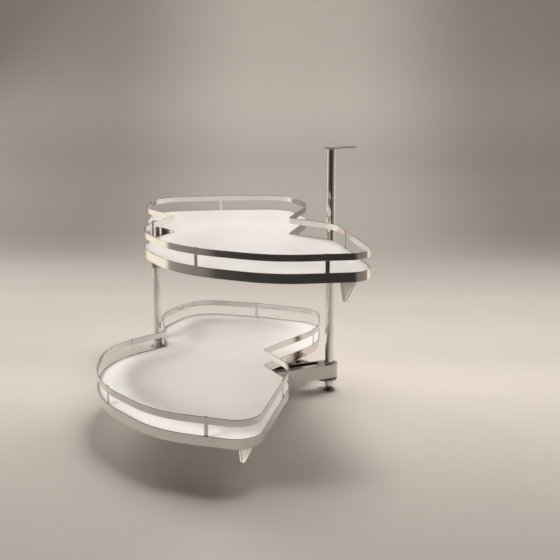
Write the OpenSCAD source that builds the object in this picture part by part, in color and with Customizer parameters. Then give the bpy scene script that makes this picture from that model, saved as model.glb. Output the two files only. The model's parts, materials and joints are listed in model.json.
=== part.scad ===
// Swing-out corner carousel for a blind corner base cabinet: a fixed main post, a swing frame of
// two arms and a carrier post, and two notched bean-shaped trays that turn on the carrier post.
// Frame: origin on the floor under the main post, +X to the cabinet's right, +Y to its back, +Z up.
// Millimetres and degrees. The modelled pose is half open, with the lower tray turned further out.

/* [Trays] */
// Length of a tray, from the tip of its front lobe to its back edge
tray_l = 850; // [800:5:900]
// Height of the steel band round the board
band_h = 20.5; // [20:0.5:26]
// Height of the gallery rail above the band
rail_h = 14; // [10:0.5:20]
// Open gap between the band and the gallery rail
rail_gap = 24; // [16:1:40]
// Thickness of the band, rail and upright strips
strip_t = 2; // [1.5:0.25:2.5]
// Width of an upright between band and rail
upright_w = 7; // [5:0.5:12]
// Thickness of the board
board_t = 18; // [16:1:19]
// Length that a pull tab hangs below its tray
tab_l = 58; // [40:1:60]

/* [Heights] */
// Height of the whole unit, floor to the top of the bracket
unit_h = 593; // [580:1:700]
// Underside of the lower arm above the floor
arm_z = 36; // [34:1:46]
// Height from one tray to the next
tray_pitch = 283; // [270:1:320]
// Height of a box arm
arm_h = 34; // [30:1:38]

/* [Posts and arms] */
// Diameter of the main post
main_d = 20; // [19:0.5:22]
// Diameter of the carrier post
carrier_d = 17; // [16:0.5:18]
// Wall of both posts
tube_t = 2; // [1.5:0.25:2.5]
// Width of a box arm
arm_w = 40; // [39:1:44]
// Wall of a box arm
arm_t = 3; // [2:0.5:3]
// Width of a link arm
link_w = 36; // [34:1:40]
// Thickness of a link arm
link_t = 14; // [12:1:16]
// Width of the slot in a box arm
slot_w = 18; // [12:1:19]

/* [Pose] */
// Direction of the carrier post seen from the main post
frame_a = 168.3; // [160:0.1:200]
// Turn of the lower tray about the carrier post
lower_a = 0; // [-60:0.1:20]
// Turn of the upper tray about the carrier post
upper_a = 24.2; // [0:0.1:24.2]

/* [Bracket and foot] */
// Thickness of the top bracket
bracket_t = 3; // [2:0.5:5]
// Reach of the top bracket beyond the post's axis
bracket_reach = 68; // [60:1:90]
// Direction of the top bracket's tongue seen from the post
bracket_a = 30; // [-45:1:90]
// Diameter of a fixing hole in the top bracket
fix_hole_d = 5.5; // [4.5:0.5:6.5]
// Diameter of the levelling foot's pad
pad_d = 28; // [24:1:40]
// Diameter of the levelling foot's stem
stem_d = 10; // [8:1:10]

/* [Hidden] */
$fn = 64;
run_fit = 0.05;    // radial clearance of a turning fit
seat_fit = 0.02;   // radial clearance of a fixed fit
air = 0.3;         // gap between two faces that move past each other
nominal_l = 850;   // length that the outline below is drawn for
k = tray_l / nominal_l;

// Tray outline about the carrier post's axis: corner x, y and its rounding radius, anticlockwise
CORNERS = [
    [28, -65, 9], [-100, -177, 195], [-84, -404, 290], [66, -570, 240], [262, -629, 52],
    [334, -322, 118], [271, -202, 9], [405, -40, 165], [414, 126, 76], [250, 192, 320],
    [72, 234, 90], [-3, 82, 135]
];
// Upright strips: a point inside a lobe and the direction from it to the strip
front_lobe = [110, -390];
back_lobe = [215, 60];
lobe_reach = 320;            // further than any strip from its lobe's point
UPRIGHTS = [
    [front_lobe, 196.5], [front_lobe, 285.5], [front_lobe, -3], [front_lobe, 120],
    [back_lobe, -31], [back_lobe, 77], [back_lobe, 183.5]
];

// Places of the tray's underside pieces
tab_at = [245, -548] * k;
tab_dir = -16;
tab_w = 47;
tab_tip_w = 12.5;
tab_lean = 6.5;              // shift of the tab's left edge from its top to its tip
tab_t = 4;
tab_base_t = 2.5;
bearer_t = 4;
bearer_dir = -48;
bearer_l = 205;
bearer_w = 144;
screw_d = 4;
screw_head_d = 9;
screw_head_h = 3;
SCREWS = [
    for (p = [[60, 22], [bearer_l - 85, 40], [bearer_l - 19, 45]], side = [-1, 1]) [p[0], side * p[1]]
];

// Swing frame
nominal_swing_r = 436;
nominal_arm_l = 300;
nominal_slot_end = 215;
swing_r = nominal_swing_r * k;
arm_lead = 33.7;             // the box arm leads the carrier post by this angle
arm_l = nominal_arm_l * k;
LUG = [68.5, -31.6];
lug_r = link_w / 2;
SLOT = [27, nominal_slot_end * k];
slot_y = -6;
bolt_d = 8;
bolt_fit = 0.25;
bolt_pitch = 45;
boss_r = arm_w / 2 - arm_t;
bush_r = main_d / 2 + 1.5;
flange_t = 1.5;
hub_bush_t = 1.2;
hub_tube_t = 1.2;
hub_flange_r = 14;
washer_t = 3;
socket_r = carrier_d / 2 + 5;
socket_l = 22;
collar_l = 50;
cap_h = 18;
glide_r = 13;
glide_stem_r = 5;
glide_stem_l = 10;

// Heights that follow
arm_top = arm_z + arm_h;
link_top = arm_top - arm_t;
link_z = link_top - link_t;
hub_z = link_top + washer_t + air;
under_z = hub_z + 12.7;
hub_top = under_z + board_t;
band_top = under_z + band_h;
rail_z = band_top + rail_gap;
rail_top = rail_z + rail_h;
carrier_bottom = link_z - socket_l;
carrier_top = hub_top + tray_pitch + air;

// Main post, its flange and collar, and the foot
post_z = 12;
post_top = unit_h - bracket_t;
rest_top = arm_z - flange_t - air;   // face that carries the lower arm
base_flange_r = 25.5;
base_flange_t = 6;
base_flange_at = [-5.5, 2];          // its centre seen from the post
collar_r = 16;
collar_h = 14;
collar_z = rest_top + tray_pitch - collar_h;
set_screw_r = 1.5;
plug_l = 24;
top_screw_d = 6;
top_screw_l = 16;
sole_t = 2;
pad_rim_t = 2;
pad_t = 7;
pad_hub_r = 7;
stem_l = 37;
bracket_disc_r = 20;
bracket_w = 26;
FIX_X = [34, bracket_reach - bracket_w / 2];

// ---- outline functions ----
function unit(v) = v / norm(v);
function turn(a) = a - 360 * round(a / 360);
function at(c, i) = let (p = c[(i + len(c)) % len(c)]) [p[0], p[1]] * k;

// Arc that rounds corner i of outline c, moved inwards by inset
function corner_arc(c, i, inset) =
    let (
        p = at(c, i),
        u = unit(at(c, i - 1) - p),
        w = unit(at(c, i + 1) - p),
        half = acos(u * w) / 2,
        r = c[i][2] * k,
        centre = p + unit(u + w) * r / sin(half),
        s = p + u * r / tan(half) - centre,
        e = p + w * r / tan(half) - centre,
        a0 = atan2(s[1], s[0]),
        sweep = turn(atan2(e[1], e[0]) - a0),
        radius = r - sign(sweep) * inset,
        n = max(3, ceil(abs(sweep) / 4))
    )
    [for (j = [0 : n]) centre + radius * [cos(a0 + sweep * j / n), sin(a0 + sweep * j / n)]];

function outline(c, inset) = [for (i = [0 : len(c) - 1]) each corner_arc(c, i, inset)];

module tray_ring(inset, t) {
    difference() {
        polygon(outline(CORNERS, inset));
        polygon(outline(CORNERS, inset + t));
    }
}

// ---- placing ----
module carrier_at() {
    translate([swing_r * cos(frame_a), swing_r * sin(frame_a), 0]) children();
}
module lower_tray_at() {
    carrier_at() rotate(lower_a) children();
}
module upper_tray_at() {
    translate([0, 0, tray_pitch]) carrier_at() rotate(upper_a) children();
}
module arm_at() {
    rotate(frame_a + arm_lead) children();
}
module link_at() {
    arm_at() translate([LUG[0], LUG[1], 0]) rotate(link_dir) children();
}
module up() {
    translate([0, 0, tray_pitch]) children();
}
carrier_local = swing_r * [cos(arm_lead), -sin(arm_lead)];
link_vec = carrier_local - LUG;
link_dir = atan2(link_vec[1], link_vec[0]);
link_l = norm(link_vec);

// ---- tray pieces, about the carrier post's axis ----
module board() {
    color("white") translate([0, 0, under_z]) difference() {
        linear_extrude(board_t) polygon(outline(CORNERS, strip_t));
        screw_places() translate([0, 0, -1]) cylinder(r = screw_d / 2, h = 13);
    }
}
module band() {
    color("silver") translate([0, 0, under_z]) linear_extrude(band_h) tray_ring(0, strip_t);
}
module rail() {
    color("silver") translate([0, 0, rail_z]) linear_extrude(rail_h) tray_ring(0, strip_t);
}
module uprights() {
    color("silver") translate([0, 0, under_z + board_t]) for (u = UPRIGHTS) {
        linear_extrude(rail_top - under_z - board_t) intersection() {
            tray_ring(strip_t, strip_t);
            translate(u[0] * k) rotate(u[1]) translate([0, -upright_w / 2])
                square([lobe_reach * k, upright_w]);
        }
    }
}
module screw_places() {
    rotate(bearer_dir) for (p = SCREWS) translate([p[0], p[1], 0]) children();
}
module bearer_shape() {
    corner = 20;
    circle(r = 18);
    polygon([
        [0, -18], [bearer_l - corner, -bearer_w / 2], [bearer_l, corner - bearer_w / 2],
        [bearer_l, bearer_w / 2 - corner], [bearer_l - corner, bearer_w / 2], [0, 18]
    ]);
}
module bearer() {
    bore = carrier_d / 2 + run_fit + hub_bush_t;
    color("silver") difference() {
        union() {
            translate([0, 0, under_z - bearer_t]) linear_extrude(bearer_t)
                rotate(bearer_dir) bearer_shape();
            translate([0, 0, hub_z + 2]) cylinder(r = bore + hub_tube_t, h = hub_top - hub_z - 2);
        }
        cylinder(r = bore, h = hub_top + 1);
        translate([0, 0, under_z - bearer_t - 1]) screw_places()
            cylinder(r = screw_d / 2 + air, h = bearer_t + 2);
    }
}
module hub_bush() {
    inner = carrier_d / 2 + run_fit;
    color("dimgray") translate([0, 0, hub_z]) difference() {
        union() {
            cylinder(r = inner + hub_bush_t - seat_fit, h = hub_top - hub_z);
            cylinder(r = hub_flange_r, h = 2);
        }
        translate([0, 0, -1]) cylinder(r = inner, h = hub_top - hub_z + 2);
    }
}
module tray_screws() {
    color("gainsboro") translate([0, 0, under_z - bearer_t]) screw_places() difference() {
        union() {
            translate([0, 0, -screw_head_h]) cylinder(r = screw_head_d / 2, h = screw_head_h);
            cylinder(r = screw_d / 2 - run_fit, h = bearer_t + 10);
        }
        translate([0, 0, -screw_head_h - 1]) cylinder(r = 1.8, h = 2.6, $fn = 6);
    }
}
function tangent_point(p, centre, r, side) =
    let (d = p - centre, a = atan2(d[1], d[0]) + side * acos(r / norm(d)))
    centre + r * [cos(a), sin(a)];

module tab() {
    tip_r = tab_tip_w / 2;
    top_left = [-tab_w / 2, -tab_base_t];
    top_right = [tab_w / 2, -tab_base_t];
    tip = [tab_lean - tab_w / 2 + tip_r, tip_r - tab_l];
    color("tan") translate([tab_at[0], tab_at[1], under_z]) rotate(tab_dir) {
        translate([-tab_w / 2 - 3, -8, -tab_base_t]) cube([tab_w + 6, 16, tab_base_t]);
        translate([0, tab_t / 2, 0]) rotate([90, 0, 0]) linear_extrude(tab_t) {
            polygon([
                top_left, tangent_point(top_left, tip, tip_r, 1),
                tangent_point(top_right, tip, tip_r, -1), top_right
            ]);
            translate(tip) circle(r = tip_r);
        }
    }
}

// ---- swing frame pieces, lower level ----
module stadium(l, r) {
    circle(r = r);
    translate([0, -r]) square([l, 2 * r]);
    translate([l, 0]) circle(r = r);
}
module lug_shape(r) {
    translate(LUG) rotate(link_dir) stadium(bolt_pitch, r);
}
module bolt_places() {
    translate([LUG[0], LUG[1], 0]) rotate(link_dir)
        for (x = [0, bolt_pitch]) translate([x, 0, 0]) children();
}
module box_arm() {
    color("silver") arm_at() difference() {
        union() {
            translate([0, 0, link_top]) linear_extrude(arm_t) {
                stadium(arm_l, arm_w / 2);
                lug_shape(lug_r);
                polygon([[44, 1 - arm_w / 2], LUG + [-16.5, -7], LUG + [12, 0]]);
            }
            translate([0, 0, arm_z]) linear_extrude(arm_h - arm_t) difference() {
                stadium(arm_l, arm_w / 2);
                stadium(arm_l, arm_w / 2 - arm_t);
            }
            translate([0, 0, arm_z]) cylinder(r = boss_r + 1, h = arm_h - arm_t);
        }
        translate([0, 0, arm_z - 1]) cylinder(r = bush_r, h = arm_h + 2);
        translate([SLOT[0], slot_y - slot_w / 2, link_top - 1])
            cube([SLOT[1] - SLOT[0], slot_w, arm_t + 2]);
        translate([arm_l, 0, link_top - 1]) cylinder(r = glide_stem_r + seat_fit, h = arm_t + 2);
        bolt_places() translate([0, 0, link_top - 1])
            cylinder(r = bolt_d / 2 + bolt_fit, h = arm_t + 2);
    }
}
module arm_bushes() {
    bush_l = 12;
    inner = main_d / 2 + run_fit;
    color("dimgray") for (side = [0, 1]) {
        translate([0, 0, side * (arm_h + flange_t) + arm_z - flange_t]) difference() {
            union() {
                cylinder(r = bush_r + 1, h = flange_t);
                translate([0, 0, side * -bush_l])
                    cylinder(r = bush_r - seat_fit, h = bush_l + flange_t);
            }
            translate([0, 0, -bush_l - 1]) cylinder(r = inner, h = 2 * bush_l + 4);
        }
    }
}
module slot_liner() {
    wall = 1.2;
    depth = 15;
    length = SLOT[1] - SLOT[0];
    color("black") arm_at() translate([SLOT[0], slot_y - slot_w / 2, link_top - depth]) difference() {
        union() {
            translate([-2, -wall, 0]) cube([length + 4, slot_w + 2 * wall, depth]);
            translate([seat_fit, seat_fit, 0])
                cube([length - 2 * seat_fit, slot_w - 2 * seat_fit, depth + arm_t]);
        }
        translate([wall, wall, wall]) cube([length - 2 * wall, slot_w - 2 * wall, depth + arm_t]);
    }
}
module glide() {
    color("dimgray") arm_at() translate([arm_l, 0, arm_top]) {
        cylinder(r = glide_r, h = under_z - air - arm_top);
        translate([0, 0, -glide_stem_l]) cylinder(r = glide_stem_r, h = glide_stem_l);
    }
}
module link_arm() {
    color("silver") difference() {
        link_at() translate([0, 0, link_z]) linear_extrude(link_t) stadium(link_l, link_w / 2);
        arm_at() translate([0, 0, link_z - 1]) linear_extrude(link_t + 2) stadium(arm_l, arm_w / 2);
        arm_at() bolt_places() translate([0, 0, link_z - 1])
            cylinder(r = bolt_d / 2 + bolt_fit, h = link_t + 2);
        carrier_at() translate([0, 0, link_z - 1])
            cylinder(r = carrier_d / 2 + seat_fit, h = link_t + 2);
    }
}
module link_bolts() {
    head_h = 1.6;
    nut_h = 6.5;
    color("gainsboro") arm_at() bolt_places() difference() {
        union() {
            translate([0, 0, arm_top]) cylinder(r = 6.8, h = head_h);
            translate([0, 0, link_z - nut_h - 2])
                cylinder(r = bolt_d / 2, h = arm_top - link_z + nut_h + 2);
            translate([0, 0, link_z - nut_h]) cylinder(r = 7.5, h = nut_h, $fn = 6);
        }
        translate([0, 0, arm_top - 2]) cylinder(r = 3.4, h = head_h + 3, $fn = 6);
    }
}
module post_sleeve(z, h) {
    translate([0, 0, z]) difference() {
        cylinder(r = socket_r, h = h);
        translate([0, 0, -1]) cylinder(r = carrier_d / 2 + seat_fit, h = h + 2);
    }
}

// ---- nodes: main post, bracket and foot ----
module main_post() {
    color("silver") translate([0, 0, post_z]) difference() {
        cylinder(r = main_d / 2, h = post_top - post_z);
        translate([0, 0, -1]) cylinder(r = main_d / 2 - tube_t, h = post_top - post_z + 2);
    }
}
module top_bracket() {
    color("silver") translate([0, 0, post_top]) rotate(bracket_a) difference() {
        linear_extrude(bracket_t) {
            circle(r = bracket_disc_r);
            translate([0, -bracket_w / 2]) square([bracket_reach - bracket_w / 2, bracket_w]);
            translate([bracket_reach - bracket_w / 2, 0]) circle(r = bracket_w / 2);
        }
        countersink();
        for (x = FIX_X) translate([x, 0, -1]) cylinder(r = fix_hole_d / 2, h = bracket_t + 2);
    }
}
module countersink(gap = 0) {
    cylinder(r1 = top_screw_d / 2 - gap, r2 = top_screw_d / 2 + bracket_t - gap, h = bracket_t);
}
module post_plug(z, bore) {
    translate([0, 0, z]) difference() {
        cylinder(r = main_d / 2 - tube_t - seat_fit, h = plug_l);
        translate([0, 0, -1]) cylinder(r = bore, h = plug_l + 2);
    }
}
module top_plug() {
    color("dimgray") post_plug(post_top - plug_l, top_screw_d / 2 + seat_fit);
}
module bracket_screw() {
    color("gainsboro") translate([0, 0, post_top]) difference() {
        union() {
            countersink(seat_fit);
            translate([0, 0, -top_screw_l])
                cylinder(r = top_screw_d / 2 - seat_fit, h = top_screw_l);
        }
        translate([0, 0, bracket_t - 2]) cylinder(r = 2.3, h = 3, $fn = 6);
    }
}
module base_flange() {
    color("silver") translate([0, 0, rest_top - base_flange_t]) difference() {
        translate(base_flange_at) cylinder(r = base_flange_r, h = base_flange_t);
        translate([0, 0, -1]) cylinder(r = main_d / 2 + seat_fit, h = base_flange_t + 2);
    }
}
module base_plug() {
    color("dimgray") post_plug(post_z, stem_d / 2 + run_fit);
}
module set_screw_places() {
    translate([0, 0, collar_z + collar_h / 2]) for (a = [90, 210]) rotate([0, 90, a]) children();
}
module upper_collar() {
    color("dimgray") difference() {
        translate([0, 0, collar_z]) difference() {
            cylinder(r = collar_r, h = collar_h);
            translate([0, 0, -1]) cylinder(r = main_d / 2 + seat_fit, h = collar_h + 2);
        }
        set_screw_places() cylinder(r = set_screw_r, h = collar_r + 1);
    }
}
module set_screws() {
    color("black") set_screw_places() translate([0, 0, main_d / 2 + run_fit])
        cylinder(r = set_screw_r - run_fit, h = collar_r - main_d / 2 - air);
}
module foot_stem() {
    color("gainsboro") translate([0, 0, sole_t + pad_t]) cylinder(r = stem_d / 2, h = stem_l);
}
module foot_pad() {
    color("silver") translate([0, 0, sole_t]) rotate_extrude() polygon([
        [0, 0], [pad_d / 2, 0], [pad_d / 2, pad_rim_t], [pad_d / 2 - 2, pad_rim_t + 1.4],
        [pad_hub_r, pad_rim_t + 2], [pad_hub_r, pad_t], [0, pad_t]
    ]);
}
module foot_sole() {
    color("black") cylinder(r = pad_d / 2 - 1, h = sole_t);
}

// ---- nodes: swing frame ----
module lower_arm() { box_arm(); }
module upper_arm() { up() box_arm(); }
module lower_arm_bushes() { arm_bushes(); }
module upper_arm_bushes() { up() arm_bushes(); }
module lower_slot_liner() { slot_liner(); }
module upper_slot_liner() { up() slot_liner(); }
module lower_glide() { glide(); }
module upper_glide() { up() glide(); }
module lower_link() { link_arm(); }
module upper_link() { up() link_arm(); }
module lower_link_bolts() { link_bolts(); }
module upper_link_bolts() { up() link_bolts(); }
module carrier_post() {
    color("silver") carrier_at() translate([0, 0, carrier_bottom]) difference() {
        cylinder(r = carrier_d / 2, h = carrier_top - carrier_bottom);
        translate([0, 0, -1])
            cylinder(r = carrier_d / 2 - tube_t, h = carrier_top - carrier_bottom + 2);
    }
}
module carrier_collar() {
    color("silver") carrier_at() post_sleeve(link_z + tray_pitch - collar_l, collar_l);
}
module carrier_socket() {
    color("silver") carrier_at() post_sleeve(carrier_bottom, socket_l);
}
module carrier_cap() {
    color("silver") carrier_at() translate([0, 0, carrier_top]) {
        cylinder(r = carrier_d / 2 + 2, h = cap_h);
        translate([0, 0, -12]) cylinder(r = carrier_d / 2 - tube_t - seat_fit, h = 12);
    }
}
module hub_washers() {
    color("dimgray") for (z = [link_top, link_top + tray_pitch]) carrier_at()
        translate([0, 0, z]) difference() {
            cylinder(r = hub_flange_r, h = washer_t);
            translate([0, 0, -1]) cylinder(r = carrier_d / 2 + seat_fit, h = washer_t + 2);
        }
}

// ---- nodes: trays ----
module lower_board() { lower_tray_at() board(); }
module lower_band() { lower_tray_at() band(); }
module lower_rail() { lower_tray_at() rail(); }
module lower_uprights() { lower_tray_at() uprights(); }
module lower_bearer() { lower_tray_at() bearer(); }
module lower_hub_bush() { lower_tray_at() hub_bush(); }
module lower_screws() { lower_tray_at() tray_screws(); }
module lower_tab() { lower_tray_at() tab(); }
module upper_board() { upper_tray_at() board(); }
module upper_band() { upper_tray_at() band(); }
module upper_rail() { upper_tray_at() rail(); }
module upper_uprights() { upper_tray_at() uprights(); }
module upper_bearer() { upper_tray_at() bearer(); }
module upper_hub_bush() { upper_tray_at() hub_bush(); }
module upper_screws() { upper_tray_at() tray_screws(); }
module upper_tab() { upper_tray_at() tab(); }

main_post();
top_bracket();
top_plug();
bracket_screw();
base_flange();
base_plug();
upper_collar();
set_screws();
foot_stem();
foot_pad();
foot_sole();
lower_arm();
upper_arm();
lower_arm_bushes();
upper_arm_bushes();
lower_slot_liner();
upper_slot_liner();
lower_glide();
upper_glide();
lower_link();
upper_link();
lower_link_bolts();
upper_link_bolts();
carrier_post();
carrier_collar();
carrier_socket();
carrier_cap();
hub_washers();
lower_board();
lower_band();
lower_rail();
lower_uprights();
lower_bearer();
lower_hub_bush();
lower_screws();
lower_tab();
upper_board();
upper_band();
upper_rail();
upper_uprights();
upper_bearer();
upper_hub_bush();
upper_screws();
upper_tab();
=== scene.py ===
"""Looks of the swing-out corner carousel: finishes, rounded strips, threads and the studio."""

import json
import math

import bmesh
import bpy
from mathutils import Matrix, Vector


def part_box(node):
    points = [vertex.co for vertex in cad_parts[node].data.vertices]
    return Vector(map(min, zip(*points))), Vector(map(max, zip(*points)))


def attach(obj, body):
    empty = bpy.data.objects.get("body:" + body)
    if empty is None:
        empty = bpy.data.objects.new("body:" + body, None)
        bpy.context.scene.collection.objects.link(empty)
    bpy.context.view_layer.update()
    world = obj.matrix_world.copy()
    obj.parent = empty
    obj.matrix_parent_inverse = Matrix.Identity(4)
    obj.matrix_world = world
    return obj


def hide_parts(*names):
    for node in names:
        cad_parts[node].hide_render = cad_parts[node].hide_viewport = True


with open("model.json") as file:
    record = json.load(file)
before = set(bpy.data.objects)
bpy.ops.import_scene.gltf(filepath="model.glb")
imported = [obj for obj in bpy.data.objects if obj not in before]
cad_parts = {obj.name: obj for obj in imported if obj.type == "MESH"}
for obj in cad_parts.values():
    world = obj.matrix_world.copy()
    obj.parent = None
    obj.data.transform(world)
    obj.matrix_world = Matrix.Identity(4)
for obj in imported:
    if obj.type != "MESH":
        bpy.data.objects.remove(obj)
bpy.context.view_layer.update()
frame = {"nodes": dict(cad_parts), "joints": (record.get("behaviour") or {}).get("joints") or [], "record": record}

MM = 0.001
TRAYS = ("lower", "upper")
TRAY_TURN = {"lower": 0.0, "upper": math.radians(24.2)}   # turn about the carrier post
PIVOT = Vector(next(j for j in frame["joints"] if j["name"] == "lower_tray_turn")["pos_m"])

# Tray outline about the carrier post in mm: corner x, y and its rounding radius, anticlockwise
CORNERS = [
    (28, -65, 9), (-100, -177, 195), (-84, -404, 290), (66, -570, 240), (262, -629, 52),
    (334, -322, 118), (271, -202, 9), (405, -40, 165), (414, 126, 76), (250, 192, 320),
    (72, 234, 90), (-3, 82, 135),
]
STRIP_T = 2.0
STRIP_EDGE = 0.75     # rounding of a strip's edges
ARC_STEP = math.radians(2)


# ---------------------------------------------------------------- studio and camera
CAMERA_AT = (-0.1284, -2.0782, 0.7935)
CAMERA_PITCH = math.radians(10.587)
FOCAL_PX = 894.07
FRAME_PX = 560
AXIS_PX = (276.2, 226.8)     # where the optical axis meets the 560 x 560 frame
SENSOR = 36.0

data = bpy.data.cameras.new("camera")
camera = bpy.data.objects.new("camera", data)
bpy.context.scene.collection.objects.link(camera)
camera.location = CAMERA_AT
camera.rotation_euler = (math.pi / 2 - CAMERA_PITCH, 0, 0)
data.sensor_fit = "HORIZONTAL"
data.sensor_width = SENSOR
data.lens = FOCAL_PX * SENSOR / FRAME_PX
data.shift_x = (FRAME_PX / 2 - AXIS_PX[0]) / FRAME_PX
data.shift_y = (AXIS_PX[1] - FRAME_PX / 2) / FRAME_PX
data.clip_end = 60
bpy.context.scene.camera = camera
bpy.context.scene.view_settings.view_transform = "Standard"


def new_material(name):
    """A node material and its node tree, emptied."""
    material = bpy.data.materials.new(name)
    material.use_nodes = True
    tree = material.node_tree
    tree.nodes.clear()
    return material, tree


def add(tree, kind, **settings):
    """A node of that kind, with its properties set."""
    node = tree.nodes.new(kind)
    for key, value in settings.items():
        setattr(node, key, value)
    return node


WARM = (1.0, 0.95, 0.90)
LAMPS = {             # place, point that it faces, width and height in metres, watts
    "back_left": ((-2.9, 3.6, 2.3), (-0.3, -0.2, 0.05), (2.4, 1.4), 80),
    "back_right": ((2.6, 3.6, 2.3), (-0.2, -0.2, 0.05), (2.0, 1.4), 58),
    "overhead": ((0.2, 0.4, 2.3), (-0.1, -0.4, 0.0), (1.1, 0.9), 18.5),
    "wall_light": ((0.12, 0.2, 2.4), (0.15, 2.9, 0.9), (0.8, 0.6), 23),
    "left_box": ((-2.4, 1.7, 0.85), (-0.35, -0.1, 0.1), (0.9, 0.9), 18),
    "low_fill": ((-2.1, -1.3, 0.68), (-0.4, -0.2, 0.1), (1.3, 0.7), 78),
    "right_box": ((1.9, 0.2, 0.8), (-0.2, 0.0, 0.3), (0.6, 1.3), 5),
}
NO_GLARE = ("back_left", "back_right", "overhead", "wall_light", "low_fill")   # unseen in gloss


def area_lamp(name, at, look_at, size, watts):
    """A warm soft box that faces a point and doesn't show to the camera."""
    light = bpy.data.lights.new(name, "AREA")
    light.shape = "RECTANGLE"
    light.size, light.size_y = size
    light.energy = watts
    light.color = WARM
    lamp = bpy.data.objects.new(name, light)
    bpy.context.scene.collection.objects.link(lamp)
    lamp.location = at
    lamp.visible_camera = False
    lamp.visible_glossy = name not in NO_GLARE
    lamp.rotation_euler = (Vector(look_at) - Vector(at)).to_track_quat("-Z", "Y").to_euler()
    return lamp


lamps = {name: area_lamp(name, *values) for name, values in LAMPS.items()}


def mesh_object(name, verts, faces):
    """A smooth-shaded object from points in metres."""
    mesh = bpy.data.meshes.new(name)
    mesh.from_pydata([tuple(v) for v in verts], [], faces)
    mesh.validate()
    mesh.update()
    mesh.shade_smooth()
    obj = bpy.data.objects.new(name, mesh)
    bpy.context.scene.collection.objects.link(obj)
    return obj


def math_node(tree, operation, a, b=None, clamp=False):
    """A maths node on sockets or plain numbers."""
    node = add(tree, "ShaderNodeMath", operation=operation, use_clamp=clamp)
    for socket, value in zip(node.inputs, (a, b)):
        if isinstance(value, (int, float)):
            socket.default_value = value
        elif value is not None:
            tree.links.new(value, socket)
    return node.outputs[0]


def ramp(tree, value, stops):
    """Grey or coloured steps at positions 0..1 of a value."""
    node = add(tree, "ShaderNodeValToRGB")
    node.color_ramp.interpolation = "EASE"
    steps = node.color_ramp.elements
    while len(steps) < len(stops):
        steps.new(1.0)
    for step, (position, colour) in zip(steps, stops):
        step.position = position
        step.color = (*colour, 1) if isinstance(colour, tuple) else (colour, colour, colour, 1)
    tree.links.new(value, node.inputs["Fac"])
    return node.outputs["Color"]


ROOM_LOW, ROOM_HIGH = (0.085, 0.066, 0.05), (0.06, 0.047, 0.038)   # at eye level and above
ROOM_HIGH_FROM = 0.5                      # height on the unit sky where the upper shade is full
CEILING = (0.52, 0.49, 0.45)              # what polished metal shows of the room above
CEILING_FROM, CEILING_FULL = 0.75, 0.92   # height on the unit sky where it starts and is full


def make_world():
    """A soft dim warm room, with a paler ceiling that shows in reflections only."""
    world = bpy.data.worlds.new("room")
    world.use_nodes = True
    tree = world.node_tree
    tree.nodes.clear()
    place = add(tree, "ShaderNodeTexCoord")
    split = add(tree, "ShaderNodeSeparateXYZ")
    tree.links.new(place.outputs["Generated"], split.inputs[0])
    shades = add(tree, "ShaderNodeValToRGB")
    shades.color_ramp.elements[0].position = 0.0
    shades.color_ramp.elements[0].color = (*ROOM_LOW, 1)
    shades.color_ramp.elements[1].position = ROOM_HIGH_FROM
    shades.color_ramp.elements[1].color = (*ROOM_HIGH, 1)
    tree.links.new(split.outputs["Z"], shades.inputs["Fac"])
    above = add(tree, "ShaderNodeMapRange")
    above.inputs["From Min"].default_value = CEILING_FROM
    above.inputs["From Max"].default_value = CEILING_FULL
    tree.links.new(split.outputs["Z"], above.inputs["Value"])
    ray = add(tree, "ShaderNodeLightPath")
    seen = math_node(tree, "MULTIPLY", above.outputs["Result"], ray.outputs["Is Glossy Ray"])
    room = add(tree, "ShaderNodeMix", data_type="RGBA")
    tree.links.new(seen, room.inputs["Factor"])
    tree.links.new(shades.outputs["Color"], room.inputs["A"])
    room.inputs["B"].default_value = (*CEILING, 1)
    shade = add(tree, "ShaderNodeBackground")
    shade.inputs["Strength"].default_value = 1.0
    tree.links.new(room.outputs["Result"], shade.inputs["Color"])
    out = add(tree, "ShaderNodeOutputWorld")
    tree.links.new(shade.outputs[0], out.inputs["Surface"])
    bpy.context.scene.world = world


make_world()


PAPER = (0.87, 0.825, 0.786)
PAPER_DEPTH, PAPER_BEND, PAPER_TOP, PAPER_HALF, PAPER_FRONT = 2.9, 1.7, 3.0, 4.0, -2.6
PAPER_BEND_STEPS = 16
PAPER_RUN = 4.0       # y + z in metres over which the paper's painted light and shade is set
# Painted light and shade along the paper: darker towards the back of the floor and the foot of the wall, paler
# again up the wall.
PAPER_PAINTED_LIGHT = [
    (0.0, 1.0), (0.08, 0.85), (0.20, 0.73), (0.26, 0.64), (0.30, 0.585), (0.38, 0.53), (0.60, 0.64),
    (0.80, 0.92), (1.0, 0.98),
]
WALL_PAINTED_SIDE_SHADE = [(0.2, 1.0), (1.0, 0.62)]      # metres aside and the wall's painted side shade there
WALL_FROM = [(0.28, 0.0), (0.45, 1.0)]    # share of the run over which floor turns to wall and the painted side shade comes in


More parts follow.
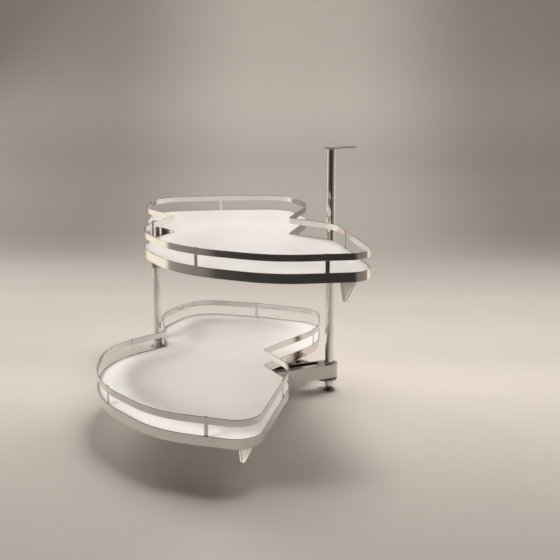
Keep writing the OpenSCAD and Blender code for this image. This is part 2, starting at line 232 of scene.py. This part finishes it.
def make_paper():
    """Pale paper from the floor up into a backdrop, which the back lamps shine through; its colour carries painted
    light and shade.
    """
    bend_y = PAPER_DEPTH - PAPER_BEND
    profile = [(PAPER_FRONT, 0.0), (bend_y, 0.0)]
    for i in range(1, PAPER_BEND_STEPS + 1):
        a = math.pi / 2 * i / PAPER_BEND_STEPS
        profile.append((bend_y + PAPER_BEND * math.sin(a), PAPER_BEND - PAPER_BEND * math.cos(a)))
    profile.append((PAPER_DEPTH, PAPER_TOP))
    verts = [(x, y, z) for y, z in profile for x in (-PAPER_HALF, PAPER_HALF)]
    faces = [(2 * i, 2 * i + 1, 2 * i + 3, 2 * i + 2) for i in range(len(profile) - 1)]
    paper = mesh_object("studio_paper", verts, faces)

    material, tree = new_material("studio_paper")
    place = add(tree, "ShaderNodeTexCoord")
    split = add(tree, "ShaderNodeSeparateXYZ")
    tree.links.new(place.outputs["Object"], split.inputs[0])
    run = math_node(tree, "ADD", split.outputs["Y"], split.outputs["Z"])
    run = math_node(tree, "DIVIDE", run, PAPER_RUN, clamp=True)
    aside = math_node(tree, "ABSOLUTE", split.outputs["X"])
    painted_side_shade = ramp(tree, aside, WALL_PAINTED_SIDE_SHADE)
    on_wall = ramp(tree, run, WALL_FROM)
    # the paper's painted light and shade, with painted shade at the wall's sides
    tone = add(tree, "ShaderNodeMix", data_type="RGBA", blend_type="MULTIPLY")
    tree.links.new(on_wall, tone.inputs["Factor"])
    tree.links.new(ramp(tree, run, PAPER_PAINTED_LIGHT), tone.inputs["A"])
    tree.links.new(painted_side_shade, tone.inputs["B"])
    colour = add(tree, "ShaderNodeMix", data_type="RGBA", blend_type="MULTIPLY")
    colour.inputs["Factor"].default_value = 1.0
    colour.inputs["A"].default_value = (*PAPER, 1)
    tree.links.new(tone.outputs["Result"], colour.inputs["B"])
    bsdf = add(tree, "ShaderNodeBsdfPrincipled")
    tree.links.new(colour.outputs["Result"], bsdf.inputs["Base Color"])
    bsdf.inputs["Roughness"].default_value = 0.8
    bsdf.inputs["Specular IOR Level"].default_value = 0.1

    clear = add(tree, "ShaderNodeBsdfTransparent")
    side = add(tree, "ShaderNodeNewGeometry")
    ray = add(tree, "ShaderNodeLightPath")
    mix = add(tree, "ShaderNodeMixShader")
    out = add(tree, "ShaderNodeOutputMaterial")
    passes = math_node(tree, "MAXIMUM", side.outputs["Backfacing"], ray.outputs["Is Shadow Ray"])
    tree.links.new(passes, mix.inputs["Fac"])
    tree.links.new(bsdf.outputs[0], mix.inputs[1])
    tree.links.new(clear.outputs[0], mix.inputs[2])
    tree.links.new(mix.outputs[0], out.inputs["Surface"])
    paper.data.materials.append(material)
    return paper


def spare(lamp, obj):
    """Keeps a lamp's light off one thing."""
    dark = bpy.data.collections.new(f"{lamp.name}_spares")
    dark.objects.link(obj)
    dark.collection_objects[0].light_linking.link_state = "EXCLUDE"
    lamp.light_linking.receiver_collection = dark


CARD_AT, CARD_R, CARD_LOW, CARD_HIGH = (-0.2, 0.0), 1.3, 0.004, 1.3
CARD_HALF = 145.0     # degrees that the card reaches to each side of the front
CARD_STEPS = 116
CARD_TONES = [        # degrees from the front, positive to the right, and what the card shows there
    (-145, (0.55, 0.44, 0.34)), (-128, (1.10, 0.96, 0.78)), (-98, (1.15, 1.05, 0.90)),
    (-90, (0.32, 0.28, 0.24)), (-54, (0.25, 0.22, 0.19)), (-36, (0.044, 0.040, 0.036)),
    (36, (0.040, 0.036, 0.032)),
    (52, (0.24, 0.205, 0.18)), (94, (0.30, 0.26, 0.22)), (97, (1.05, 0.86, 0.68)),
    (130, (1.05, 0.86, 0.68)), (145, (0.50, 0.40, 0.31)),
]


def make_card():
    """A card bent round the object, dark in front and pale at the sides, seen only in reflections."""
    verts, places = [], []
    for i in range(CARD_STEPS + 1):
        place = i / CARD_STEPS
        a = math.radians(CARD_HALF * (2 * place - 1))
        x, y = CARD_AT[0] + CARD_R * math.sin(a), CARD_AT[1] - CARD_R * math.cos(a)
        verts += [(x, y, CARD_LOW), (x, y, CARD_HIGH)]
        places += [place] * 2
    faces = [(2 * i, 2 * i + 2, 2 * i + 3, 2 * i + 1) for i in range(CARD_STEPS)]
    card = mesh_object("studio_card", verts, faces)
    layer = card.data.attributes.new("place", "FLOAT", "POINT")
    layer.data.foreach_set("value", places)
    material, tree = new_material("studio_card")
    place = add(tree, "ShaderNodeAttribute", attribute_name="place")
    glow = add(tree, "ShaderNodeEmission")
    stops = [((angle / CARD_HALF + 1) / 2, tone) for angle, tone in CARD_TONES]
    tree.links.new(ramp(tree, place.outputs["Fac"], stops), glow.inputs["Color"])
    out = add(tree, "ShaderNodeOutputMaterial")
    tree.links.new(glow.outputs[0], out.inputs["Surface"])
    card.data.materials.append(material)
    card.visible_camera = False
    card.visible_diffuse = False
    card.visible_shadow = False
    card.visible_transmission = False


spare(lamps["low_fill"], make_paper())
make_card()


# ---------------------------------------------------------------- finishes
def noise(tree, scale, detail=3.0, stretch=(1, 1, 1)):
    """Noise in the piece's own coordinates, scale in repeats per metre."""
    place = add(tree, "ShaderNodeTexCoord")
    mapping = add(tree, "ShaderNodeMapping")
    mapping.inputs["Scale"].default_value = stretch
    tree.links.new(place.outputs["Object"], mapping.inputs["Vector"])
    texture = add(tree, "ShaderNodeTexNoise")
    texture.inputs["Scale"].default_value = scale
    texture.inputs["Detail"].default_value = detail
    tree.links.new(mapping.outputs[0], texture.inputs["Vector"])
    return texture.outputs["Fac"]


def spread(tree, value, low, high, from_low=0.3, from_high=0.7):
    """Maps a noise value to the range low..high."""
    node = add(tree, "ShaderNodeMapRange")
    node.inputs["From Min"].default_value = from_low
    node.inputs["From Max"].default_value = from_high
    node.inputs["To Min"].default_value = low
    node.inputs["To Max"].default_value = high
    tree.links.new(value, node.inputs["Value"])
    return node.outputs["Result"]


def tint(tree, value, dark, light):
    """Colour between dark and light, led by a noise value."""
    node = add(tree, "ShaderNodeValToRGB")
    node.color_ramp.elements[0].position = 0.3
    node.color_ramp.elements[0].color = (*dark, 1)
    node.color_ramp.elements[1].position = 0.7
    node.color_ramp.elements[1].color = (*light, 1)
    tree.links.new(value, node.inputs["Fac"])
    return node.outputs["Color"]


def paint_level_face_shade(tree, colour, painted_level_shade):
    """Painted reflection: darkens the faces that lie level, such as the strip's flat edges, as if they mirrored
    something dark.
    """
    side = add(tree, "ShaderNodeNewGeometry")
    split = add(tree, "ShaderNodeSeparateXYZ")
    tree.links.new(side.outputs["Normal"], split.inputs[0])
    level = math_node(tree, "ABSOLUTE", split.outputs["Z"])
    mix = add(tree, "ShaderNodeMix", data_type="RGBA", blend_type="MULTIPLY")
    mix.inputs["Factor"].default_value = 1.0
    tree.links.new(colour, mix.inputs["A"])
    tree.links.new(ramp(tree, level, [(0.55, 1.0), (0.85, painted_level_shade)]), mix.inputs["B"])
    return mix.outputs["Result"]


FINE_GLOSS = (-0.02, 0.02)     # how far the grain alone shifts the roughness
RELIEF = 0.0004                # depth of the grain in metres


def finish(name, dark, light, rough, metallic=0.0, mottle=18.0, grain=900.0,
           bump=0.02, stretch=(1, 1, 1), painted_level_shade=1.0):
    """A surface with mottled colour, uneven gloss and a fine grain; below 1 the last argument darkens its level
    faces with a painted dark reflection.
    """
    material, tree = new_material(name)
    bsdf = add(tree, "ShaderNodeBsdfPrincipled")
    bsdf.inputs["Metallic"].default_value = metallic
    cloud = noise(tree, mottle, 4.0)
    colour = tint(tree, cloud, dark, light)
    if painted_level_shade < 1.0:
        colour = paint_level_face_shade(tree, colour, painted_level_shade)
    tree.links.new(colour, bsdf.inputs["Base Color"])
    fine = noise(tree, grain, 2.0, stretch)
    gloss = math_node(tree, "ADD", spread(tree, cloud, *rough), spread(tree, fine, *FINE_GLOSS))
    tree.links.new(gloss, bsdf.inputs["Roughness"])
    relief = add(tree, "ShaderNodeBump")
    relief.inputs["Strength"].default_value = bump
    relief.inputs["Distance"].default_value = RELIEF
    tree.links.new(fine, relief.inputs["Height"])
    tree.links.new(relief.outputs["Normal"], bsdf.inputs["Normal"])
    out = add(tree, "ShaderNodeOutputMaterial")
    tree.links.new(bsdf.outputs[0], out.inputs["Surface"])
    return material


ALONG_POST = (1, 1, 0.02)
FINISH = {
    "chrome_post": finish("chrome", (0.70, 0.68, 0.66), (0.78, 0.77, 0.76), (0.06, 0.10), 1.0,
                          bump=0.01, stretch=ALONG_POST),
    # the strips' level faces get a painted dark reflection, 0.30 of their colour
    "band_metal": finish("plated_strip", (0.74, 0.72, 0.70), (0.80, 0.79, 0.77), (0.11, 0.16), 1.0,
                         grain=500, bump=0.002, painted_level_shade=0.30),
    "satin_chrome": finish("satin_chrome", (0.50, 0.48, 0.45), (0.58, 0.56, 0.53), (0.12, 0.18), 1.0,
                           mottle=60, bump=0.01),
    "taupe_plastic": finish("taupe_plastic", (0.20, 0.18, 0.165), (0.25, 0.23, 0.21), (0.35, 0.45),
                            grain=1600, bump=0.06),
    # a darker copy of chrome: painted shade for the flange and foot pad low under the arm
    "shaded_chrome": finish("shaded_chrome", (0.19, 0.18, 0.17), (0.25, 0.24, 0.225), (0.12, 0.18), 1.0,
                          mottle=60, bump=0.01),
    "arm_metal": finish("satin_steel", (0.50, 0.485, 0.47), (0.57, 0.555, 0.54), (0.20, 0.28), 1.0,
                        bump=0.015),
    "white_board": finish("white_melamine", (0.88, 0.875, 0.87), (0.91, 0.905, 0.90), (0.28, 0.36),
                          mottle=9, grain=1400, bump=0.04),
    "grey_plastic": finish("grey_plastic", (0.60, 0.57, 0.525), (0.68, 0.65, 0.61), (0.38, 0.48),
                           grain=1600, bump=0.08),
    "dark_plastic": finish("dark_acetal", (0.018, 0.017, 0.016), (0.035, 0.033, 0.031), (0.40, 0.55),
                           grain=1600, bump=0.08),
    "black_steel": finish("black_oxide", (0.03, 0.028, 0.026), (0.055, 0.05, 0.046), (0.28, 0.40), 0.6,
                          mottle=120, bump=0.05),
    "zinc": finish("zinc_plate", (0.60, 0.60, 0.58), (0.72, 0.71, 0.67), (0.20, 0.32), 1.0,
                   mottle=60, bump=0.04),
    "sole_rubber": finish("black_rubber", (0.015, 0.015, 0.015), (0.03, 0.03, 0.03), (0.65, 0.8),
                          grain=1200, bump=0.15),
}
NODE_FINISH = {
    # base flange and foot pad take the darker chrome as painted shade
    "base_flange": "shaded_chrome", "foot_pad": "shaded_chrome", "top_bracket": "satin_chrome",
    "lower_arm_bushes": "taupe_plastic", "upper_arm_bushes": "taupe_plastic",
    "lower_bearer": "zinc", "upper_bearer": "zinc",
}
SLOTS = {s["node"]: s["material_slot"] for s in frame["record"]["subparts"]}


def paint(obj, slot):
    """Gives an object one of the finishes as its only material."""
    obj.data.materials.clear()
    obj.data.materials.append(FINISH[slot])


def soften(obj, width, segments=2):
    """Rounds an object's sharp edges and smooths its curved faces."""
    weld = obj.modifiers.new("weld", "WELD")
    weld.merge_threshold = 0.00001
    bevel = obj.modifiers.new("bevel", "BEVEL")
    bevel.width = width * MM
    bevel.segments = segments
    bevel.limit_method = "ANGLE"
    bevel.angle_limit = math.radians(35)
    bevel.harden_normals = True
    bevel.use_clamp_overlap = True
    smooth = obj.modifiers.new("normals", "WEIGHTED_NORMAL")
    smooth.keep_sharp = True


EDGE = {
    "main_post": 0.4, "top_bracket": 0.9, "base_flange": 1.2, "foot_pad": 0.5, "foot_sole": 0.4,
    "lower_arm": 1.2, "upper_arm": 1.2, "lower_link": 1.0, "upper_link": 1.0,
    "lower_board": 0.4, "upper_board": 0.4, "lower_bearer": 0.8, "upper_bearer": 0.8,
    "lower_uprights": 0.5, "upper_uprights": 0.5, "carrier_collar": 1.0, "carrier_socket": 1.0,
    "carrier_cap": 0.6, "carrier_post": 0.4, "upper_collar": 0.8,
}
for name, obj in frame["nodes"].items():
    paint(obj, NODE_FINISH.get(name, SLOTS[name]))
    for polygon in obj.data.polygons:
        polygon.use_smooth = True
    soften(obj, EDGE.get(name, 0.3))


# ---------------------------------------------------------------- gallery strips
def corner_arc(i, inset):
    """Points in mm of the arc that rounds corner i, moved inwards by inset."""
    p, before, after = (Vector(CORNERS[j % len(CORNERS)][:2]) for j in (i, i - 1, i + 1))
    radius = CORNERS[i][2]
    u, w = (before - p).normalized(), (after - p).normalized()
    half = u.angle(w) / 2
    centre = p + (u + w).normalized() * radius / math.sin(half)
    start = p + u * radius / math.tan(half) - centre
    end = p + w * radius / math.tan(half) - centre
    a0 = math.atan2(start.y, start.x)
    sweep = math.atan2(end.y, end.x) - a0
    sweep -= math.tau * round(sweep / math.tau)
    reach = radius - math.copysign(inset, sweep)
    steps = max(3, math.ceil(abs(sweep) / ARC_STEP))
    return [centre + reach * Vector((math.cos(a0 + sweep * j / steps), math.sin(a0 + sweep * j / steps)))
            for j in range(steps + 1)]


def outline(inset):
    """The tray's whole outline in mm, moved inwards by inset."""
    return [point for i in range(len(CORNERS)) for point in corner_arc(i, inset)]


def strip_profile(thickness, low, high, edge, steps=5):
    """Closed (inset, z) outline in mm of a flat strip with rounded edges."""
    points = []
    corners = [(thickness, high, 0), (0, high, 90), (0, low, 180), (thickness, low, 270)]
    for x, z, start in corners:
        cx = x - edge if x > 0 else x + edge
        cz = z - edge if z == high else z + edge
        for j in range(steps + 1):
            a = math.radians(start + 90 * j / steps)
            points.append((cx + edge * math.cos(a), cz + edge * math.sin(a)))
    return points


def tray_matrix(tray):
    """Place of a tray's own frame, about the carrier post, at rest."""
    return Matrix.Translation(PIVOT) @ Matrix.Rotation(TRAY_TURN[tray], 4, "Z")


def make_strip(tray, part):
    """The closed strip that follows the tray's outline, in place of the plain CAD one."""
    node = f"{tray}_{part}"
    low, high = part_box(node)
    profile = strip_profile(STRIP_T, low.z / MM, high.z / MM, STRIP_EDGE)
    rings = [outline(inset) for inset, _ in profile]
    matrix = tray_matrix(tray)
    verts, faces = [], []
    count, around = len(rings[0]), len(profile)
    for j in range(count):
        for (_, z), ring in zip(profile, rings):
            verts.append(matrix @ Vector((ring[j].x * MM, ring[j].y * MM, z * MM)))
    for j in range(count):
        for k in range(around):
            a, b = j * around + k, j * around + (k + 1) % around
            c, d = ((j + 1) % count) * around + (k + 1) % around, ((j + 1) % count) * around + k
            faces.append((a, b, c, d))
    strip = mesh_object(f"{node}_strip", verts, faces)
    paint(strip, SLOTS[node])
    normals = strip.modifiers.new("normals", "WEIGHTED_NORMAL")
    normals.keep_sharp = False
    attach(strip, f"{tray}_tray")
    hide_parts(node)


for tray in TRAYS:
    for part in ("band", "rail"):
        make_strip(tray, part)


# ---------------------------------------------------------------- turned and threaded pieces
TURN_STEPS = 48
THREAD_DEPTH = 0.61   # a ridge's height as a share of the pitch


def hexagon(angle, corner):
    """Radius at an angle of a hexagon whose corners lie at that radius."""
    return corner * math.cos(math.pi / 6) / math.cos(angle % (math.pi / 3) - math.pi / 6)


def turned(rings):
    """Closed solid in mm turned from (radius, z, hexagon corner or None) rings, upwards."""
    verts, faces = [Vector((0, 0, rings[0][1]))], []
    for radius, z, corner in rings:
        for i in range(TURN_STEPS):
            a = math.tau * i / TURN_STEPS
            r = radius if corner is None else min(radius, hexagon(a, corner))
            verts.append(Vector((r * math.cos(a), r * math.sin(a), z)))
    verts.append(Vector((0, 0, rings[-1][1])))
    for i in range(TURN_STEPS):
        j = (i + 1) % TURN_STEPS
        faces.append((0, 1 + j, 1 + i))
        for k in range(len(rings) - 1):
            low, high = 1 + k * TURN_STEPS, 1 + (k + 1) * TURN_STEPS
            faces.append((low + i, low + j, high + j, high + i))
        last = 1 + (len(rings) - 1) * TURN_STEPS
        faces.append((last + i, last + j, len(verts) - 1))
    return verts, faces


def thread(radius, pitch, low, high, depth=THREAD_DEPTH):
    """Closed solid in mm of a screw thread along +z, with its ridge wound round it."""
    rows = max(2, math.ceil((high - low) / pitch * 8))
    verts, faces = [Vector((0, 0, low))], []
    for row in range(rows + 1):
        z = low + (high - low) * row / rows
        for i in range(TURN_STEPS):
            phase = (z / pitch - i / TURN_STEPS) % 1.0
            r = radius - depth * pitch * abs(2 * phase - 1)
            a = math.tau * i / TURN_STEPS
            verts.append(Vector((r * math.cos(a), r * math.sin(a), z)))
    verts.append(Vector((0, 0, high)))
    for i in range(TURN_STEPS):
        j = (i + 1) % TURN_STEPS
        faces.append((0, 1 + j, 1 + i))
        for row in range(rows):
            a, b = 1 + row * TURN_STEPS, 1 + (row + 1) * TURN_STEPS
            faces.append((a + i, a + j, b + j, b + i))
        last = 1 + rows * TURN_STEPS
        faces.append((last + i, last + j, len(verts) - 1))
    return verts, faces


def moved(solid, at):
    """A solid in mm put in its place in metres."""
    verts, faces = solid
    return [at @ (v * MM) for v in verts], faces


def joined(solids):
    """Several solids as one mesh."""
    verts, faces = [], []
    for part_verts, part_faces in solids:
        start = len(verts)
        verts += part_verts
        faces += [tuple(start + i for i in face) for face in part_faces]
    return verts, faces


def separate_solids(node):
    """Lowest and highest corner of each separate solid of a CAD node."""
    form = bmesh.new()
    form.from_mesh(frame["nodes"][node].data)
    bmesh.ops.remove_doubles(form, verts=form.verts, dist=0.00001)
    boxes, seen = [], set()
    for first in form.verts:
        if first in seen:
            continue
        seen.add(first)
        stack, points = [first], []
        while stack:
            vert = stack.pop()
            points.append(vert.co.copy())
            for edge in vert.link_edges:
                other = edge.other_vert(vert)
                if other not in seen:
                    seen.add(other)
                    stack.append(other)
        boxes.append(tuple(Vector([pick(p[i] for p in points) for i in range(3)]) for pick in (min, max)))
    form.free()
    return boxes


def take_over(name, solid, node, body, crease=30):
    """Adds a detailed piece in place of a CAD node."""
    piece = mesh_object(name, *solid)
    paint(piece, SLOTS[node])
    piece.data.set_sharp_from_angle(angle=math.radians(crease))
    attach(piece, body)
    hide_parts(node)


def column(box):
    """The axis of a solid, from its box: its own foot at z 0 of the frame."""
    low, high = box
    return Matrix.Translation(((low.x + high.x) / 2, (low.y + high.y) / 2, 0))


BOLT_R, BOLT_PITCH = 4, 1.25
NUT_R, NUT_H = 7.5, 6.5
HEAD_R, HEAD_H, KEY_R = 6.8, 1.6, 3.4
BOLT_TAIL = 2         # thread that stands out below the nut


def link_bolt(box):
    """A low-headed bolt with its hexagon key hole, a chamfered nut and the thread's end."""
    low, high = box[0].z / MM, box[1].z / MM
    nut_low = low + BOLT_TAIL
    nut_high, seat = nut_low + NUT_H, high - HEAD_H
    chamfer = 0.9 * NUT_R
    rings = [
        (BOLT_R, nut_low, None), (chamfer, nut_low, None), (NUT_R, nut_low + 0.8, NUT_R),
        (NUT_R, nut_high - 0.8, NUT_R), (chamfer, nut_high, None), (BOLT_R, nut_high, None),
        (BOLT_R, seat, None), (HEAD_R, seat, None), (HEAD_R, high - 0.7, None),
        (HEAD_R - 0.2, high - 0.3, None), (HEAD_R - 0.8, high - 0.05, None), (HEAD_R - 1.6, high, None),
        (KEY_R + 0.4, high, None), (KEY_R, high - 0.3, KEY_R), (KEY_R, seat - 2, KEY_R),
    ]
    tail = thread(BOLT_R, BOLT_PITCH, low, nut_low + 1)
    return moved(joined([turned(rings), tail]), column(box))


SCREW_R, SCREW_PITCH, SCREW_DEPTH = 1.95, 1.4, 0.35


def tray_screw(box):
    """A pan-head screw driven upwards, with a hexagon key hole in its head."""
    low, high = box[0].z / MM, box[1].z / MM
    head_r, head_h, key_r, key_depth, core_r, point_l = 4.5, 3, 1.8, 1.6, 1.4, 2.5
    rings = [
        (key_r, low + key_depth, key_r), (key_r, low + 0.2, key_r), (key_r + 0.3, low, None),
        (head_r - 1.6, low, None), (head_r - 0.6, low + 0.35, None), (head_r - 0.1, low + 1.1, None),
        (head_r, low + head_h, None), (core_r, low + head_h, None), (core_r, high - point_l, None),
        (0.2, high, None),
    ]
    shank = thread(SCREW_R, SCREW_PITCH, low + head_h + 0.2, high - point_l, SCREW_DEPTH)
    return moved(joined([turned(rings), shank]), column(box))


for tray in TRAYS:
    node = f"{tray}_link_bolts"
    take_over(f"{node}_detail", joined([link_bolt(box) for box in separate_solids(node)]), node, "frame")
    node = f"{tray}_screws"
    take_over(f"{node}_detail", joined([tray_screw(box) for box in separate_solids(node)]), node,
              f"{tray}_tray")

STEM_PITCH = 1.5
stem_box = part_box("foot_stem")
stem_r = (stem_box[1].x - stem_box[0].x) / 2 / MM
take_over("foot_stem_thread",
          moved(thread(stem_r, STEM_PITCH, stem_box[0].z / MM, stem_box[1].z / MM), column(stem_box)),
          "foot_stem", "foot", crease=60)


# ---------------------------------------------------------------- pull tabs
TAB_AT, TAB_DIR = Vector((245, -548)), math.radians(-16)
TAB_W, TAB_TIP_W, TAB_LEAN, TAB_T, TAB_BASE_T, TAB_L = 47, 12.5, 6.5, 4, 2.5, 58
TAB_RIM, TAB_RECESS, TAB_SLOPE = 3.2, 1.1, 0.9     # rim's width, the recess's depth and side
TAB_BASE_MORE, TAB_BASE_W, TAB_BASE_R = 6, 16, 2.5  # screwed plate: extra length, width, corners


def tangent_angle(p, centre, radius, side):
    """Direction from a circle's centre to where the line from p touches it."""
    away = p - centre
    return math.atan2(away.y, away.x) + side * math.acos(radius / away.length)


def tab_outline(steps=14):
    """The tab's face, anticlockwise: a wide top that runs down to a round tip."""
    radius = TAB_TIP_W / 2
    left, right = Vector((-TAB_W / 2, 0)), Vector((TAB_W / 2, 0))
    tip = Vector((TAB_LEAN - TAB_W / 2 + radius, radius - TAB_L))
    start = tangent_angle(left, tip, radius, 1)
    end = tangent_angle(right, tip, radius, -1)
    end += math.tau * math.ceil((start - end) / math.tau)
    arc = [start + (end - start) * i / steps for i in range(steps + 1)]
    return [left] + [tip + radius * Vector((math.cos(a), math.sin(a))) for a in arc] + [right]


def round_rectangle(length, width, radius, steps=6):
    """Anticlockwise outline about the origin."""
    points = []
    for x, y, start in ((1, 1, 0), (-1, 1, 90), (-1, -1, 180), (1, -1, 270)):
        centre = Vector((x * (length / 2 - radius), y * (width / 2 - radius)))
        for i in range(steps + 1):
            a = math.radians(start + 90 * i / steps)
            points.append(centre + radius * Vector((math.cos(a), math.sin(a))))
    return points


def inwards(points, inset):
    """A convex anticlockwise outline moved inwards."""
    moved_points = []
    for i, p in enumerate(points):
        a = (p - points[i - 1]).normalized()
        b = (points[(i + 1) % len(points)] - p).normalized()
        normal = Vector((-a.y - b.y, a.x + b.x))
        moved_points.append(p + normal * inset / (1 + a.dot(b)))
    return moved_points


def slab(points, levels):
    """Closed solid in mm from rings of an outline at (inset, height) levels, upwards."""
    verts, faces, count = [], [], len(points)
    for inset, height in levels:
        verts += [Vector((p.x, p.y, height)) for p in inwards(points, inset)]
    faces.append(tuple(reversed(range(count))))
    for k in range(len(levels) - 1):
        for i in range(count):
            j = (i + 1) % count
            faces.append((k * count + i, k * count + j, (k + 1) * count + j, (k + 1) * count + i))
    faces.append(tuple(range((len(levels) - 1) * count, len(levels) * count)))
    return verts, faces


def rounded_edge(half, radius=0.6, steps=3):
    """(inset, height) levels of a plate's rounded rim between -half and half."""
    arc = [math.radians(90 * i / steps) for i in range(steps + 1)]
    low = [(radius * (1 - math.sin(a)), -half + radius * (1 - math.cos(a))) for a in arc]
    return low + [(inset, -height) for inset, height in reversed(low)]


def make_tab(tray):
    """A pull tab with a raised rim round a recessed face, on its own screwed plate."""
    node = f"{tray}_tab"
    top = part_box(node)[1].z / MM
    face = slab(tab_outline(), [
        (TAB_RIM + TAB_SLOPE, TAB_RECESS - TAB_T / 2), (TAB_RIM, -TAB_T / 2), *rounded_edge(TAB_T / 2),
        (TAB_RIM, TAB_T / 2), (TAB_RIM + TAB_SLOPE, TAB_T / 2 - TAB_RECESS),
    ])
    base = round_rectangle(TAB_W + TAB_BASE_MORE, TAB_BASE_W, TAB_BASE_R)
    plate = slab(base, rounded_edge(TAB_BASE_T / 2, 0.5))
    at = tray_matrix(tray) @ Matrix.Translation((TAB_AT.x * MM, TAB_AT.y * MM, top * MM))
    at = at @ Matrix.Rotation(TAB_DIR, 4, "Z")
    upright = Matrix.Rotation(math.pi / 2, 4, "X")
    seat = Matrix.Translation((0, 0, -TAB_BASE_T / 2 * MM))
    take_over(f"{node}_moulded", joined([moved(face, at @ upright), moved(plate, at @ seat)]),
              node, f"{tray}_tray", crease=40)


for tray in TRAYS:
    make_tab(tray)
